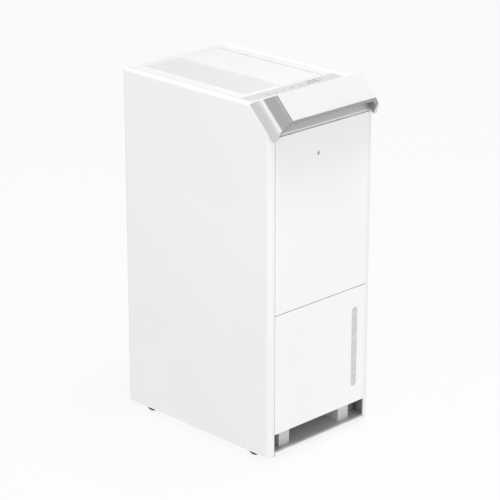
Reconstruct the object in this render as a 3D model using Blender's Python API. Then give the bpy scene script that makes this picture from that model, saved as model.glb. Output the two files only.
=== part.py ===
"""Slim tower dehumidifier on four rollers.

Frame: metres, +Z up, the front (tank side) faces -Y. The origin is on the floor, under the
middle of the whole outline, so the visor's nose and the rear cover are equally far from it.
"""

import math

import bmesh
import bpy
from mathutils import Matrix, Vector

# ---------------------------------------------------------------- driving dimensions

WIDTH = 0.250
DEPTH = 0.362
PANEL_HEIGHT = 0.620
FLOOR_GAP = 0.012

GAP = 0.0003
WALL = 0.003
CORNER_RADIUS = 0.010
EDGE_RADIUS = 0.0025
SEAM_INSET = 0.013
RETURN_DEPTH = 0.011
RETURN_WALL = 0.0025
SIDE_SEAM = 0.0008
CLIP_REACH = 0.004
CLIP_THICKNESS = 0.002
FASCIA_PROUD = 0.0015

# The top front corner is cut at 45 degrees; the visor stands on that slope.
CHAMFER = 0.0475
DECK_SINK = 0.0005
VISOR_HALF = 0.119
VISOR_WALL = 0.007
VISOR_SHOULDER = 0.0205
VISOR_SHOULDER_CUT = 0.018
VISOR_BEND_RADIUS = 0.006
VISOR_FOOT = (-0.001, 0.0765)
VISOR_FOOT_INSET = 0.0008
VISOR_CREST = (0.0137, 0.065)
VISOR_BACK_WALL = 0.006
COVER_HALF = 0.0995
COVER_THICKNESS = 0.0022

# Top deck
OUTLET_HALF = 0.092
PANEL_TO_OUTLET = 0.0068
OUTLET_BACK_MARGIN = 0.0145
MULLION = (-0.011, -0.006)
REAR_FLANGE = 0.012
GRILLE_FRAME = 0.005
GRILLE_SLOTS = 11
GRILLE_SLOT_WIDTH = 0.0036
GRILLE_CROSS_RIB = 0.004
FLAP_RADIUS = 0.0015
FLAP_EDGE_GAP = 0.0007
FLAP_PIN_RADIUS = 0.0010
FLAP_PIN_LENGTH = 0.004
PIN_CLEARANCE = 0.0004
PANEL_SETBACK = 0.011
PANEL_DEPTH = 0.0245
PANEL_THICKNESS = 0.0018
DISPLAY = (0.035, 0.071)
DISPLAY_MARGINS = (0.0075, 0.003)
BOARD_DROP = 0.026
BOARD_THICKNESS = 0.0016

# Front
SEAM_HEIGHT = 0.259
SLOT_HEIGHT = 0.0345
BASE_STRIP = 0.007
SEAM_GAP = 0.0012
WINDOW_CENTRE = 0.0835
WINDOW_WIDTH = 0.013
WINDOW_SPAN = (0.074, 0.222)

# Base
BASE_FLOOR = 0.0025
RUNNER = (0.0616, 0.087)
RUNNER_SETBACK = 0.014
WEB_SETBACK = 0.0255
RAIL_STEP = 0.003
WHEEL_RADIUS = 0.0165
WHEEL_WIDTH = 0.011
WHEEL_X = 0.109
WHEEL_INSET = 0.050
WHEEL_POCKET_CLEARANCE = 0.002
HOUSING_WALL = 0.0025
AXLE_RADIUS = 0.002
AXLE_SKIN = 0.001

# Tank
TANK_HALF = 0.108
TANK_WALL = 0.0025
TANK_RADIUS = 0.012
TANK_DEPTH = 0.158
TANK_HEADROOM = 0.019
LID_THICKNESS = 0.0025
LID_HOLE_RADIUS = 0.015
FLOAT_X = (0.028, 0.052)
FLOAT_ARM_X = (0.0335, 0.0465)
FLOAT_TAB = 0.003
FLOAT_PIN_RADIUS = 0.002

# Machine compartment
BULKHEAD_GAP = 0.004
SHELF_RISE = 0.008
TRAY_HEIGHT = 0.013
TRAY_WALL = 0.002
SPOUT_RADIUS = 0.0065
SPOUT_BORE = 0.0045
COIL_X = (-0.078, 0.085)
COIL_SHARE = 0.684
EVAPORATOR_THICKNESS = 0.022
CONDENSER_THICKNESS = 0.028
COIL_SPACING = 0.008
FIN_PITCH = 0.0072
FIN_THICKNESS = 0.0022
HAIRPIN_PITCH = 0.045
PIPE_RADIUS = 0.004
FAN_WIDTH = 0.077
FAN_SHARE = 0.216
SCROLL_GAP = 0.010
SCROLL_GROWTH_SHARE = 0.31
SCROLL_OUTLET_SHARE = 1.8
SCROLL_WALL = 0.002
FAN_BLADES = 22
MOTOR_RADIUS = 0.040
MOTOR_LENGTH = 0.070
MOTOR_MOUNT_RADIUS = 0.046
SHAFT_RADIUS = 0.004
DUCT_WALL = 0.002
COMPRESSOR_RADIUS = 0.058
COMPRESSOR_HEIGHT = 0.176
GROMMET_RADIUS = 0.009
GROMMET_HEIGHT = 0.016
ACCUMULATOR_RADIUS = 0.017
CAPILLARY_RADIUS = 0.0012
CAPACITOR_RADIUS = 0.019
CAPACITOR_HEIGHT = 0.090

# Rear
FILTER_HALF = 0.0837
FILTER_THICKNESS = 0.0085
FILTER_SLATS = 14
DRAIN_X = 0.0985
DRAIN_HOLE_RADIUS = 0.008
DRAIN_STUB_RADIUS = 0.005
DRAIN_BORE = 0.003
GLAND_X = -0.070
GLAND_Z = 0.060
GLAND_RADIUS = 0.0077

# ---------------------------------------------------------------- derived planes

ROOT_TWO = math.sqrt(2)
VISOR_TOP = VISOR_SHOULDER + VISOR_SHOULDER_CUT
COVER_TOP = VISOR_TOP + GAP + COVER_THICKNESS
NOSE = (VISOR_CREST[1] + COVER_TOP) / ROOT_TWO - CHAMFER

Y_BACK = (DEPTH + NOSE) / 2
Y_FRONT = Y_BACK - DEPTH
Y_FASCIA = Y_FRONT - FASCIA_PROUD
Y_CHAMFER = Y_FRONT + CHAMFER
Z_BASE = FLOOR_GAP
Z_TOP = Z_BASE + PANEL_HEIGHT
X_SIDE = WIDTH / 2
X_SEAM = X_SIDE - SEAM_INSET
X_FASCIA = X_SEAM - SIDE_SEAM
X_INNER = X_SIDE - WALL - GAP
Y_DECK_EDGE = Y_CHAMFER + DECK_SINK * ROOT_TWO
Z_FASCIA_TOP = Z_TOP - (Y_DECK_EDGE - Y_FASCIA)
Z_FLOOR = Z_BASE + BASE_STRIP
Z_SLOT_TOP = Z_FLOOR + SLOT_HEIGHT
Z_SEAM = Z_BASE + SEAM_HEIGHT

Y_PANEL = (Y_DECK_EDGE + PANEL_SETBACK, Y_DECK_EDGE + PANEL_SETBACK + PANEL_DEPTH)
Y_LENS = (Y_PANEL[0] + DISPLAY_MARGINS[0], Y_PANEL[1] - DISPLAY_MARGINS[1])
Y_OUTLET = (Y_PANEL[1] + PANEL_TO_OUTLET, Y_BACK - OUTLET_BACK_MARGIN)

Z_TANK = Z_SLOT_TOP + RAIL_STEP
Z_TANK_TOP = Z_SEAM - TANK_HEADROOM
Y_TANK = (Y_FASCIA + WALL + GAP, Y_FASCIA + WALL + GAP + TANK_DEPTH)
Y_BULKHEAD = Y_TANK[1] + BULKHEAD_GAP
MACHINE_HEIGHT = Z_TOP - Z_SEAM
COIL_HEIGHT = COIL_SHARE * MACHINE_HEIGHT
HAIRPINS = max(2, round(COIL_HEIGHT / HAIRPIN_PITCH - 0.5))
FAN_RADIUS = FAN_SHARE * MACHINE_HEIGHT
SCROLL_START = FAN_RADIUS + SCROLL_GAP
SCROLL_GROWTH = SCROLL_GROWTH_SHARE * FAN_RADIUS
Z_SHELF = Z_SEAM + SHELF_RISE
Z_TRAY = Z_SHELF + WALL + GAP
Z_COIL = Z_TRAY + TRAY_WALL + GAP
Y_EVAPORATOR = (Y_BACK - 0.0465, Y_BACK - 0.0465 + EVAPORATOR_THICKNESS)
Y_CONDENSER_BACK = Y_EVAPORATOR[0] - COIL_SPACING
Y_CONDENSER = (Y_CONDENSER_BACK - CONDENSER_THICKNESS, Y_CONDENSER_BACK)
Y_FAN = (Y_CONDENSER[0] - 0.020 - FAN_WIDTH, Y_CONDENSER[0] - 0.020)
Z_FAN = Z_TRAY + TRAY_HEIGHT + SCROLL_START + SCROLL_GROWTH
Z_FAN_OUT = Z_FAN + SCROLL_OUTLET_SHARE * FAN_RADIUS
Z_DUCT_TOP = Z_TOP - WALL - GAP
SPOUT = (0.0, Y_TANK[1] - 0.018)
X_PIPES = -0.104
Z_DRAIN = Z_TRAY + TRAY_HEIGHT / 2
Y_DRAIN_STUB = Y_BACK - 0.0085

# ---------------------------------------------------------------- modelling helpers

for old in list(bpy.data.objects):
    bpy.data.objects.remove(old, do_unlink=True)


def material(name, color, roughness, metallic=0.0, alpha=1.0):
    made = bpy.data.materials.new(name)
    made.use_nodes = True
    shader = made.node_tree.nodes["Principled BSDF"]
    shader.inputs["Base Color"].default_value = (*color, 1.0)
    shader.inputs["Roughness"].default_value = roughness
    shader.inputs["Metallic"].default_value = metallic
    shader.inputs["Alpha"].default_value = alpha
    return made


WHITE = material("white_plastic", (0.86, 0.86, 0.86), 0.38)
SIDE_WHITE = material("side_plastic", (0.84, 0.84, 0.84), 0.45)
PANEL_GREY = material("panel_grey", (0.70, 0.70, 0.70), 0.40)
VISOR_GREY = material("visor_silver", (0.55, 0.55, 0.56), 0.32, 0.4)
WINDOW_SMOKE = material("level_window", (0.58, 0.59, 0.60), 0.15, 0.0, 0.8)
DISPLAY_GREY = material("display_lens", (0.62, 0.62, 0.63), 0.12)
TANK_CLEAR = material("tank_plastic", (0.75, 0.79, 0.82), 0.25, 0.0, 0.6)
INNER_WHITE = material("inner_plastic", (0.72, 0.72, 0.71), 0.55)
RUBBER = material("black_rubber", (0.03, 0.03, 0.03), 0.80)
STEEL = material("steel", (0.62, 0.62, 0.63), 0.30, 1.0)
BLACK_STEEL = material("black_steel", (0.04, 0.04, 0.045), 0.45, 0.3)
ALUMINIUM = material("fin_aluminium", (0.80, 0.81, 0.82), 0.35, 1.0)
COPPER = material("copper", (0.72, 0.38, 0.22), 0.30, 1.0)
BOARD_GREEN = material("circuit_board", (0.05, 0.22, 0.10), 0.50)
FLOAT_BLUE = material("float_foam", (0.35, 0.55, 0.70), 0.70)


def mesh_object(name, vertices, faces, finish=None):
    mesh = bpy.data.meshes.new(name)
    mesh.from_pydata([tuple(v) for v in vertices], [], faces)
    shell = bmesh.new()
    shell.from_mesh(mesh)
    bmesh.ops.recalc_face_normals(shell, faces=shell.faces)
    shell.to_mesh(mesh)
    shell.free()
    if finish:
        mesh.materials.append(finish)
    made = bpy.data.objects.new(name, mesh)
    bpy.context.collection.objects.link(made)
    return made


def loft(name, first, second, finish=None):
    """Solid between two outlines with the same number of points, given in 3-D."""
    count = len(first)
    sides = [(i, (i + 1) % count, count + (i + 1) % count, count + i) for i in range(count)]
    caps = [tuple(range(count)), tuple(range(count, 2 * count))]
    return mesh_object(name, [*first, *second], sides + caps, finish)


def prism(name, outline, low, high, axis, finish=None):
    """Straight extrusion; outline pairs are the two other axes in X, Y, Z order."""
    place = {
        "X": lambda a, b, t: (t, a, b),
        "Y": lambda a, b, t: (a, t, b),
        "Z": lambda a, b, t: (a, b, t),
    }[axis]
    return loft(
        name,
        [place(a, b, low) for a, b in outline],
        [place(a, b, high) for a, b in outline],
        finish,
    )


def rectangle(low_a, high_a, low_b, high_b):
    return [(low_a, low_b), (high_a, low_b), (high_a, high_b), (low_a, high_b)]


def box(name, x, y, z, finish=None):
    return prism(name, rectangle(*x, *y), *z, "Z", finish)


def boxes(name, ranges):
    """Several separate blocks in one mesh, used as one cutter."""
    vertices = []
    faces = []
    for x, y, z in ranges:
        base = len(vertices)
        vertices += [(a, b, c) for c in z for a, b in rectangle(*x, *y)]
        quads = [(0, 1, 2, 3), (4, 5, 6, 7), (0, 1, 5, 4), (1, 2, 6, 5), (2, 3, 7, 6), (3, 0, 4, 7)]
        faces += [tuple(base + i for i in quad) for quad in quads]
    return mesh_object(name, vertices, faces)


def filleted(outline, radius, steps=4):
    """The outline with each corner turned into an arc; radius is one value or one per corner."""
    radii = radius if isinstance(radius, (list, tuple)) else [radius] * len(outline)
    result = []
    for i, corner in enumerate(outline):
        here = Vector(corner)
        before = (Vector(outline[i - 1]) - here).normalized()
        after = (Vector(outline[(i + 1) % len(outline)]) - here).normalized()
        if radii[i] <= 0:
            result.append(tuple(here))
            continue
        half = math.acos(max(-1.0, min(1.0, before.dot(after)))) / 2
        reach = radii[i] / math.tan(half)
        middle = here + (before + after).normalized() * (radii[i] / math.sin(half))
        start = here + before * reach - middle
        end = here + after * reach - middle
        turn = math.atan2(start.x * end.y - start.y * end.x, start.dot(end))
        for step in range(steps + 1):
            angle = turn * step / steps
            spoke = Matrix.Rotation(angle, 2) @ start
            result.append(tuple(middle + spoke))
    return result


def turned(name, profile, centre, axis, finish=None, segments=32):
    """Round solid about a line; profile is (radius, distance along the axis) pairs.

    A profile that starts and ends on the axis is solid; any other is closed as a ring.
    """
    place = {
        "X": lambda r, h, a: (h, r * math.cos(a), r * math.sin(a)),
        "Y": lambda r, h, a: (r * math.cos(a), h, r * math.sin(a)),
        "Z": lambda r, h, a: (r * math.cos(a), r * math.sin(a), h),
    }[axis]
    centre = Vector(centre)
    vertices = []
    rings = []
    for radius, height in profile:
        count = 1 if radius == 0 else segments
        rings.append([len(vertices) + k for k in range(count)])
        for k in range(count):
            vertices.append(centre + Vector(place(radius, height, 2 * math.pi * k / segments)))
    pairs = list(zip(rings, rings[1:]))
    if profile[0][0] > 0:
        pairs.append((rings[-1], rings[0]))
    faces = []
    for lower, upper in pairs:
        for k in range(segments):
            following = (k + 1) % segments
            face = [lower[k % len(lower)], lower[following % len(lower)]]
            face += [upper[following % len(upper)], upper[k % len(upper)]]
            faces.append(tuple(dict.fromkeys(face)))
    made = mesh_object(name, vertices, faces, finish)
    made.data.shade_smooth()
    made.data.set_sharp_from_angle(angle=math.radians(35))
    return made


def rod(name, radius, low, high, centre, axis, finish=None, segments=20):
    profile = [(0, low), (radius, low), (radius, high), (0, high)]
    return turned(name, profile, centre, axis, finish, segments)


def pipe(name, points, radius, finish=None, resolution=1):
    """Round tube along a line of points, closed at both ends."""
    curve = bpy.data.curves.new(name + "_line", "CURVE")
    curve.dimensions = "3D"
    curve.bevel_depth = radius
    curve.bevel_resolution = resolution
    curve.use_fill_caps = True
    spline = curve.splines.new("POLY")
    spline.points.add(len(points) - 1)
    for spot, point in zip(spline.points, points):
        spot.co = (*point, 1.0)
    guide = bpy.data.objects.new(name + "_line", curve)
    bpy.context.collection.objects.link(guide)
    mesh = bpy.data.meshes.new_from_object(guide)
    bpy.data.objects.remove(guide, do_unlink=True)
    shell = bmesh.new()
    shell.from_mesh(mesh)
    bmesh.ops.remove_doubles(shell, verts=shell.verts, dist=1e-6)
    bmesh.ops.recalc_face_normals(shell, faces=shell.faces)
    shell.to_mesh(mesh)
    shell.free()
    mesh.materials.clear()
    if finish:
        mesh.materials.append(finish)
    made = bpy.data.objects.new(name, mesh)
    bpy.context.collection.objects.link(made)
    made.data.shade_smooth()
    made.data.set_sharp_from_angle(angle=math.radians(50))
    return made


def bent(corners, radius, steps=4):
    """Points along straight runs joined by round bends."""
    line = [Vector(corners[0])]
    for before, here, after in zip(corners, corners[1:], corners[2:]):
        here = Vector(here)
        back = (Vector(before) - here).normalized() * radius
        ahead = (Vector(after) - here).normalized() * radius
        for step in range(steps + 1):
            t = step / steps
            line.append(here + back * (1 - t) ** 2 + ahead * t ** 2)
    line.append(Vector(corners[-1]))
    return line


def combine(target, tool, operation):
    tool.hide_render = True
    tool.display_type = "WIRE"
    change = target.modifiers.new(tool.name, "BOOLEAN")
    change.object = tool
    change.operation = operation


def cut(target, *tools):
    for tool in tools:
        combine(target, tool, "DIFFERENCE")


def fuse(target, *tools):
    for tool in tools:
        combine(target, tool, "UNION")


def bevel_edges(target, chosen, offset, segments):
    """Round the edges whose two end points both satisfy the test."""
    shell = bmesh.new()
    shell.from_mesh(target.data)
    edges = [edge for edge in shell.edges if chosen(edge.verts[0].co, edge.verts[1].co)]
    bmesh.ops.bevel(shell, geom=edges, offset=offset, segments=segments, affect="EDGES", profile=0.5)
    shell.to_mesh(target.data)
    shell.free()


def seat(target, point):
    """Move an object's origin to a point on its joint's axis."""
    target.data.transform(Matrix.Translation(-Vector(point)))
    target.location = point


def slope(along, out):
    """(y, z) of a point on the 45-degree slope: along runs down and forward, out is its normal."""
    return (Y_CHAMFER - (along + out) / ROOT_TWO, Z_TOP + (out - along) / ROOT_TWO)


def side_outline(inset, bottom):
    """Cabinet's side view, inset by a wall, from the given bottom height."""
    lean = inset * (ROOT_TWO - 1)
    return [
        (Y_FRONT + inset, bottom),
        (Y_BACK - inset, bottom),
        (Y_BACK - inset, Z_TOP - inset),
        (Y_CHAMFER + lean, Z_TOP - inset),
        (Y_FRONT + inset, Z_TOP - CHAMFER - lean),
    ]


def visor_end(index, out):
    """Distance down the slope of the visor's upper (0) or lower (1) slanted end."""
    share = (out - GAP) / (VISOR_TOP - GAP)
    return VISOR_FOOT[index] + share * (VISOR_CREST[index] - VISOR_FOOT[index])


# ---------------------------------------------------------------- cabinet


def side_panel(name, side):
    """Moulded side shell with turned edges; the visor stands on its sloping flange."""

    def slab(label, inset, bottom, inner, outer):
        return prism(label, side_outline(inset, bottom), side * inner, side * outer, "X")

    shell = slab(name, 0, Z_BASE, X_SEAM, X_SIDE)
    shell.data.materials.append(SIDE_WHITE)
    at_outer = lambda a, b, x: abs(abs(a.x) - x) < 1e-6 and abs(abs(b.x) - x) < 1e-6
    upright = lambda a, b: abs(a.y - b.y) < 1e-6
    bevel_edges(shell, lambda a, b: at_outer(a, b, X_SIDE) and upright(a, b), CORNER_RADIUS, 5)
    high = lambda a, b: min(a.z, b.z) > Z_TOP - CHAMFER - 1e-6
    bevel_edges(shell, lambda a, b: at_outer(a, b, X_SIDE) and high(a, b), EDGE_RADIUS, 2)
    hollow = slab(name + "_hollow", WALL, Z_BASE - WALL, X_SEAM - WALL, X_SIDE - WALL)
    inner_radius = CORNER_RADIUS - WALL
    bevel_edges(hollow, lambda a, b: at_outer(a, b, X_SIDE - WALL) and upright(a, b), inner_radius, 5)
    cut(shell, hollow)
    return shell


def base_outline():
    corner = 0.005
    front = Y_FRONT + WALL + GAP
    back = Y_BACK - WALL - GAP
    right = [
        (X_FASCIA, Y_FASCIA),
        (X_FASCIA, front),
        (X_INNER - corner, front),
        (X_INNER, front + corner),
        (X_INNER, back - corner),
        (X_INNER - corner, back),
        (X_FASCIA, back),
        (X_FASCIA, Y_BACK),
    ]
    return right + [(-x, y) for x, y in reversed(right)]


def wheel_places():
    for side, side_name in ((-1, "left"), (1, "right")):
        for y, end_name in ((Y_FRONT + WHEEL_INSET, "front"), (Y_BACK - WHEEL_INSET, "rear")):
            yield f"{end_name}_{side_name}", side * WHEEL_X, y


def base_pan():
    """Ribbed base with the tank's runners and four boxed roller housings."""
    pan = prism("base_pan", base_outline(), Z_BASE, Z_FLOOR, "Z", WHITE)
    embed = BASE_FLOOR / 2
    pocket = WHEEL_RADIUS + WHEEL_POCKET_CLEARANCE
    half_width = WHEEL_WIDTH / 2 + WHEEL_POCKET_CLEARANCE
    runner_back = Y_BULKHEAD - BULKHEAD_GAP / 2
    runner_front = Y_FRONT + RUNNER_SETBACK
    web_front = Y_FRONT + WEB_SETBACK
    sunk = (Z_FLOOR - embed, Z_SLOT_TOP - GAP)
    raised = (Z_FLOOR - embed, Z_TANK - GAP)
    for side in (-1, 1):
        span = sorted((side * RUNNER[0], side * RUNNER[1]))
        web = sorted((side * RUNNER[1], side * (X_FASCIA - GAP)))
        tip = runner_front + 0.012
        web_y = (web_front, web_front + HOUSING_WALL)
        slit_y = (web_front - WALL, web_front + HOUSING_WALL + GAP)
        slit_z = (Z_FLOOR + 0.008, Z_FLOOR + 0.024)
        name = f"runner_{side}"
        fuse(pan, box(name + "_toe", span, (runner_front, tip + 0.001), sunk))
        fuse(pan, box(name + "_rail", span, (tip, runner_back), raised))
        fuse(pan, box(name + "_web", web, web_y, sunk))
        for x in (RUNNER[1] + 0.003, RUNNER[1] + 0.008):
            slit = sorted((side * x, side * (x + 0.002)))
            cut(pan, box(f"{name}_slit_{x}", slit, slit_y, slit_z))
    for name, x, y in wheel_places():
        reach = pocket + HOUSING_WALL
        wide = half_width + HOUSING_WALL
        top = WHEEL_RADIUS + pocket
        outer_z = (Z_FLOOR - embed, top + HOUSING_WALL)
        fuse(pan, box("housing_" + name, (x - wide, x + wide), (y - reach, y + reach), outer_z))
        inner_x = (x - half_width, x + half_width)
        cut(pan, box("pocket_" + name, inner_x, (y - pocket, y + pocket), (-WALL, top)))
        hole = wide - AXLE_SKIN
        centre = (x, y, WHEEL_RADIUS)
        cut(pan, rod("axle_hole_" + name, AXLE_RADIUS + GAP, -hole, hole, centre, "X"))
    rib = 0.004
    columns = 3
    rows = 5
    inner = WHEEL_X - half_width - 2 * HOUSING_WALL
    deep = (Y_FRONT + 2 * WALL, Y_BACK - 2 * WALL)
    step_x = 2 * inner / columns
    step_y = (deep[1] - deep[0]) / rows
    pockets = []
    for i in range(columns):
        for j in range(rows):
            x = -inner + i * step_x
            y = deep[0] + j * step_y
            span_x = (x + rib / 2, x + step_x - rib / 2)
            span_y = (y + rib / 2, y + step_y - rib / 2)
            pockets.append((span_x, span_y, (-WALL, Z_FLOOR - BASE_FLOOR)))
    cut(pan, boxes("underside_pockets", pockets))
    return pan


def rollers():
    reach = WHEEL_WIDTH / 2 + WHEEL_POCKET_CLEARANCE + HOUSING_WALL - AXLE_SKIN - GAP
    rim = 0.0015
    half = WHEEL_WIDTH / 2
    bore = AXLE_RADIUS + PIN_CLEARANCE
    profile = [
        (bore, -half),
        (WHEEL_RADIUS - rim, -half),
        (WHEEL_RADIUS, -half + rim),
        (WHEEL_RADIUS, half - rim),
        (WHEEL_RADIUS - rim, half),
        (bore, half),
    ]
    for name, x, y in wheel_places():
        centre = (x, y, WHEEL_RADIUS)
        rod("axle_" + name, AXLE_RADIUS, -reach, reach, centre, "X", STEEL, 16)
        wheel = turned("wheel_" + name, profile, centre, "X", RUBBER, 32)
        seat(wheel, centre)


def channel_outline(front, direction):
    """Plan of a panel with turned-back edges; direction +1 turns them towards +Y."""
    face = [(-X_FASCIA, front), (X_FASCIA, front)]
    back = front + direction * RETURN_DEPTH
    wall = front + direction * WALL
    inner = X_FASCIA - RETURN_WALL
    rounded = filleted([*face, (X_FASCIA, back), (-X_FASCIA, back)], [0.0015, 0.0015, 0, 0], 3)
    return rounded[:-1] + [(inner, back), (inner, wall), (-inner, wall), (-inner, back)] + rounded[-1:]


def add_clips(panel, y, z, count):
    """Lugs on a panel's turned edges that catch behind the side shells' flanges."""
    pitch = (z[1] - z[0]) / count
    for side in (-1, 1):
        x = sorted((side * (X_FASCIA - RETURN_WALL / 2), side * (X_SEAM + CLIP_REACH)))
        for k in range(count):
            low = z[0] + pitch * (k + 0.25)
            fuse(panel, box(f"{panel.name}_clip_{side}_{k}", x, y, (low, low + pitch / 2)))


def front_panel():
    outline = channel_outline(Y_FASCIA, 1)
    z = (Z_SEAM + SEAM_GAP / 2, Z_FASCIA_TOP)
    panel = prism("front_panel", outline, *z, "Z", WHITE)
    behind = (Y_FASCIA + WALL, Y_FASCIA + 2 * RETURN_DEPTH)
    relief_low = Z_FASCIA_TOP - 0.012
    cut(panel, box("front_panel_relief", (-X_SIDE, X_SIDE), behind, (relief_low, Z_TOP)))
    clip = Y_FRONT + WALL + GAP
    add_clips(panel, (clip, clip + CLIP_THICKNESS), (z[0], relief_low), 3)
    return panel


def rear_cover():
    outline = channel_outline(Y_BACK, -1)
    top = Z_TOP - REAR_FLANGE - GAP
    cover = prism("rear_cover", outline, Z_FLOOR + GAP, top, "Z", WHITE)
    through = (Y_BACK - 2 * WALL, Y_BACK + WALL)
    opening = FILTER_HALF + GAP
    window = (Z_COIL + GAP, Z_COIL + COIL_HEIGHT + GAP)
    cut(cover, box("filter_opening", (-opening, opening), through, window))
    drain = (DRAIN_X, 0, Z_DRAIN)
    cut(cover, rod("drain_opening", DRAIN_HOLE_RADIUS, *through, drain, "Y", None, 24))
    gland = (GLAND_X, 0, GLAND_Z)
    cut(cover, rod("gland_opening", GLAND_RADIUS + GAP, *through, gland, "Y", None, 24))
    clip = Y_BACK - WALL - GAP
    add_clips(cover, (clip - CLIP_THICKNESS, clip), (Z_FLOOR + GAP, top), 4)
    return cover


def top_deck():
    """Top frame in one sheet: rear flange, flat deck, and the sunk slope under the visor."""
    end = Y_FASCIA + WALL + GAP
    lean = WALL * (ROOT_TWO - 1)
    run = Y_DECK_EDGE - end
    outline = [
        (Y_BACK, Z_TOP - REAR_FLANGE),
        (Y_BACK, Z_TOP),
        (Y_DECK_EDGE, Z_TOP),
        (end, Z_TOP - run),
        (end, Z_TOP - run - WALL * ROOT_TWO),
        (Y_DECK_EDGE + lean, Z_TOP - WALL),
        (Y_BACK - WALL, Z_TOP - WALL),
        (Y_BACK - WALL, Z_TOP - REAR_FLANGE),
    ]
    deck = prism("top_deck", outline, -X_FASCIA, X_FASCIA, "X", WHITE)
    through = (Z_TOP - 2 * WALL, Z_TOP + WALL)
    cut(deck, box("grille_opening", (-OUTLET_HALF, MULLION[0]), Y_OUTLET, through))
    cut(deck, box("flap_opening", (MULLION[1], OUTLET_HALF), Y_OUTLET, through))
    recess = PANEL_THICKNESS + GAP
    panel_half = X_FASCIA - 2 * GAP
    recess_y = (Y_PANEL[0] - GAP, Y_PANEL[1] + GAP)
    recess_z = (Z_TOP - recess, Z_TOP + WALL)
    cut(deck, box("panel_recess", (-panel_half, panel_half), recess_y, recess_z))
    lens = (Y_LENS[0] - GAP, Y_LENS[1] + GAP)
    cut(deck, box("display_opening", (DISPLAY[0] - GAP, DISPLAY[1] + GAP), lens, through))
    pin = (OUTLET_HALF - FLAP_EDGE_GAP - FLAP_RADIUS, 0, Z_TOP - FLAP_RADIUS)
    reach = FLAP_PIN_LENGTH + GAP
    hole = FLAP_PIN_RADIUS + PIN_CLEARANCE
    front = (Y_OUTLET[0] - reach, Y_OUTLET[0] + WALL)
    back = (Y_OUTLET[1] - WALL, Y_OUTLET[1] + reach)
    for label, span in (("front", front), ("back", back)):
        cut(deck, rod(f"flap_socket_{label}", hole, *span, pin, "Y", None, 12))
    return deck


def visor_section(inset, foot):
    """Arch across the visor as (x, out) pairs, inset by a wall; its legs lean in a little."""
    drop = inset * math.tan(math.radians(22.5))
    base = X_SIDE - VISOR_FOOT_INSET - inset
    shoulder = (VISOR_HALF - inset, VISOR_SHOULDER - drop)
    crest = (VISOR_HALF - VISOR_SHOULDER_CUT - drop, VISOR_TOP - inset)
    radius = VISOR_BEND_RADIUS - inset / 2
    right = [(base, foot), shoulder, crest]
    left = [(-x, out) for x, out in reversed(right)]
    return filleted(right + left, [0, radius, radius, radius, radius, 0], 3)


def visor():
    """Angled handle cowl: an open-ended arch on the slope, closed at its upper end."""

    def section(inset, foot, index, shift):
        points = []
        for x, out in visor_section(inset, foot):
            points.append((x, *slope(visor_end(index, out) + shift, out)))
        return points

    ends = [section(0, GAP, index, 0) for index in (0, 1)]
    cowl = loft("visor_handle", *ends, VISOR_GREY)
    below = -2 * WALL
    pocket = loft(
        "visor_pocket",
        section(VISOR_WALL, below, 0, VISOR_BACK_WALL),
        section(VISOR_WALL, below, 1, VISOR_WALL),
    )
    cut(cowl, pocket)
    base = VISOR_TOP + GAP
    rear, nose = VISOR_CREST
    outline = [slope(rear, base), slope(nose, base), slope(nose, COVER_TOP), slope(rear, COVER_TOP)]
    prism("visor_cover", outline, -COVER_HALF, COVER_HALF, "X", WHITE)


def outlet_grille():
    edge = 2 * GAP
    x = (-OUTLET_HALF + edge, MULLION[0] - edge)
    y = (Y_OUTLET[0] + edge, Y_OUTLET[1] - edge)
    grille = box("outlet_grille", x, y, (Z_DUCT_TOP + GAP, Z_TOP - GAP), PANEL_GREY)
    pitch = (x[1] - x[0] - 2 * GRILLE_FRAME) / GRILLE_SLOTS
    middle = (y[0] + y[1]) / 2
    half_rib = GRILLE_CROSS_RIB / 2
    lengths = ((y[0] + GRILLE_FRAME, middle - half_rib), (middle + half_rib, y[1] - GRILLE_FRAME))
    through = (Z_DUCT_TOP - WALL, Z_TOP + WALL)
    slots = []
    for i in range(GRILLE_SLOTS):
        centre = x[0] + GRILLE_FRAME + (i + 0.5) * pitch
        width = (centre - GRILLE_SLOT_WIDTH / 2, centre + GRILLE_SLOT_WIDTH / 2)
        for length in lengths:
            slots.append((width, length, through))
    cut(grille, boxes("grille_slots", slots))
    return grille


def outlet_flap():
    """Flush outlet flap, hinged on two end pins along its outer edge."""
    axis_x = OUTLET_HALF - FLAP_EDGE_GAP - FLAP_RADIUS
    axis_z = Z_TOP - FLAP_RADIUS
    steps = 6
    arc = [math.pi / 2 - math.pi * k / steps for k in range(steps + 1)]
    edge = [(axis_x + FLAP_RADIUS * math.cos(a), axis_z + FLAP_RADIUS * math.sin(a)) for a in arc]
    free = MULLION[1] + FLAP_EDGE_GAP
    outline = [(free, Z_TOP), *edge, (free, Z_TOP - 2 * FLAP_RADIUS)]
    y = (Y_OUTLET[0] + 2 * GAP, Y_OUTLET[1] - 2 * GAP)
    flap = prism("outlet_flap", outline, *y, "Y", WHITE)
    centre = (axis_x, 0, axis_z)
    embed = 0.002
    front = (y[0] - FLAP_PIN_LENGTH, y[0] + embed)
    back = (y[1] - embed, y[1] + FLAP_PIN_LENGTH)
    for label, span in (("front", front), ("back", back)):
        pin = rod(f"flap_pin_{label}", FLAP_PIN_RADIUS, *span, centre, "Y", None, 12)
        fuse(flap, pin)
        pin.location = -Vector(centre)
        pin.parent = flap
    seat(flap, centre)
    return flap


def control_panel():
    half = X_FASCIA - 3 * GAP
    z = (Z_TOP - PANEL_THICKNESS, Z_TOP)
    panel = box("control_panel", (-half, half), Y_PANEL, z, PANEL_GREY)
    opening_x = (DISPLAY[0] - GAP, DISPLAY[1] + GAP)
    opening_y = (Y_LENS[0] - GAP, Y_LENS[1] + GAP)
    cut(panel, box("lens_opening", opening_x, opening_y, (z[0] - WALL, z[1] + WALL)))
    box("display_window", DISPLAY, Y_LENS, (Z_TOP - PANEL_THICKNESS, Z_TOP - GAP), DISPLAY_GREY)


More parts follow.
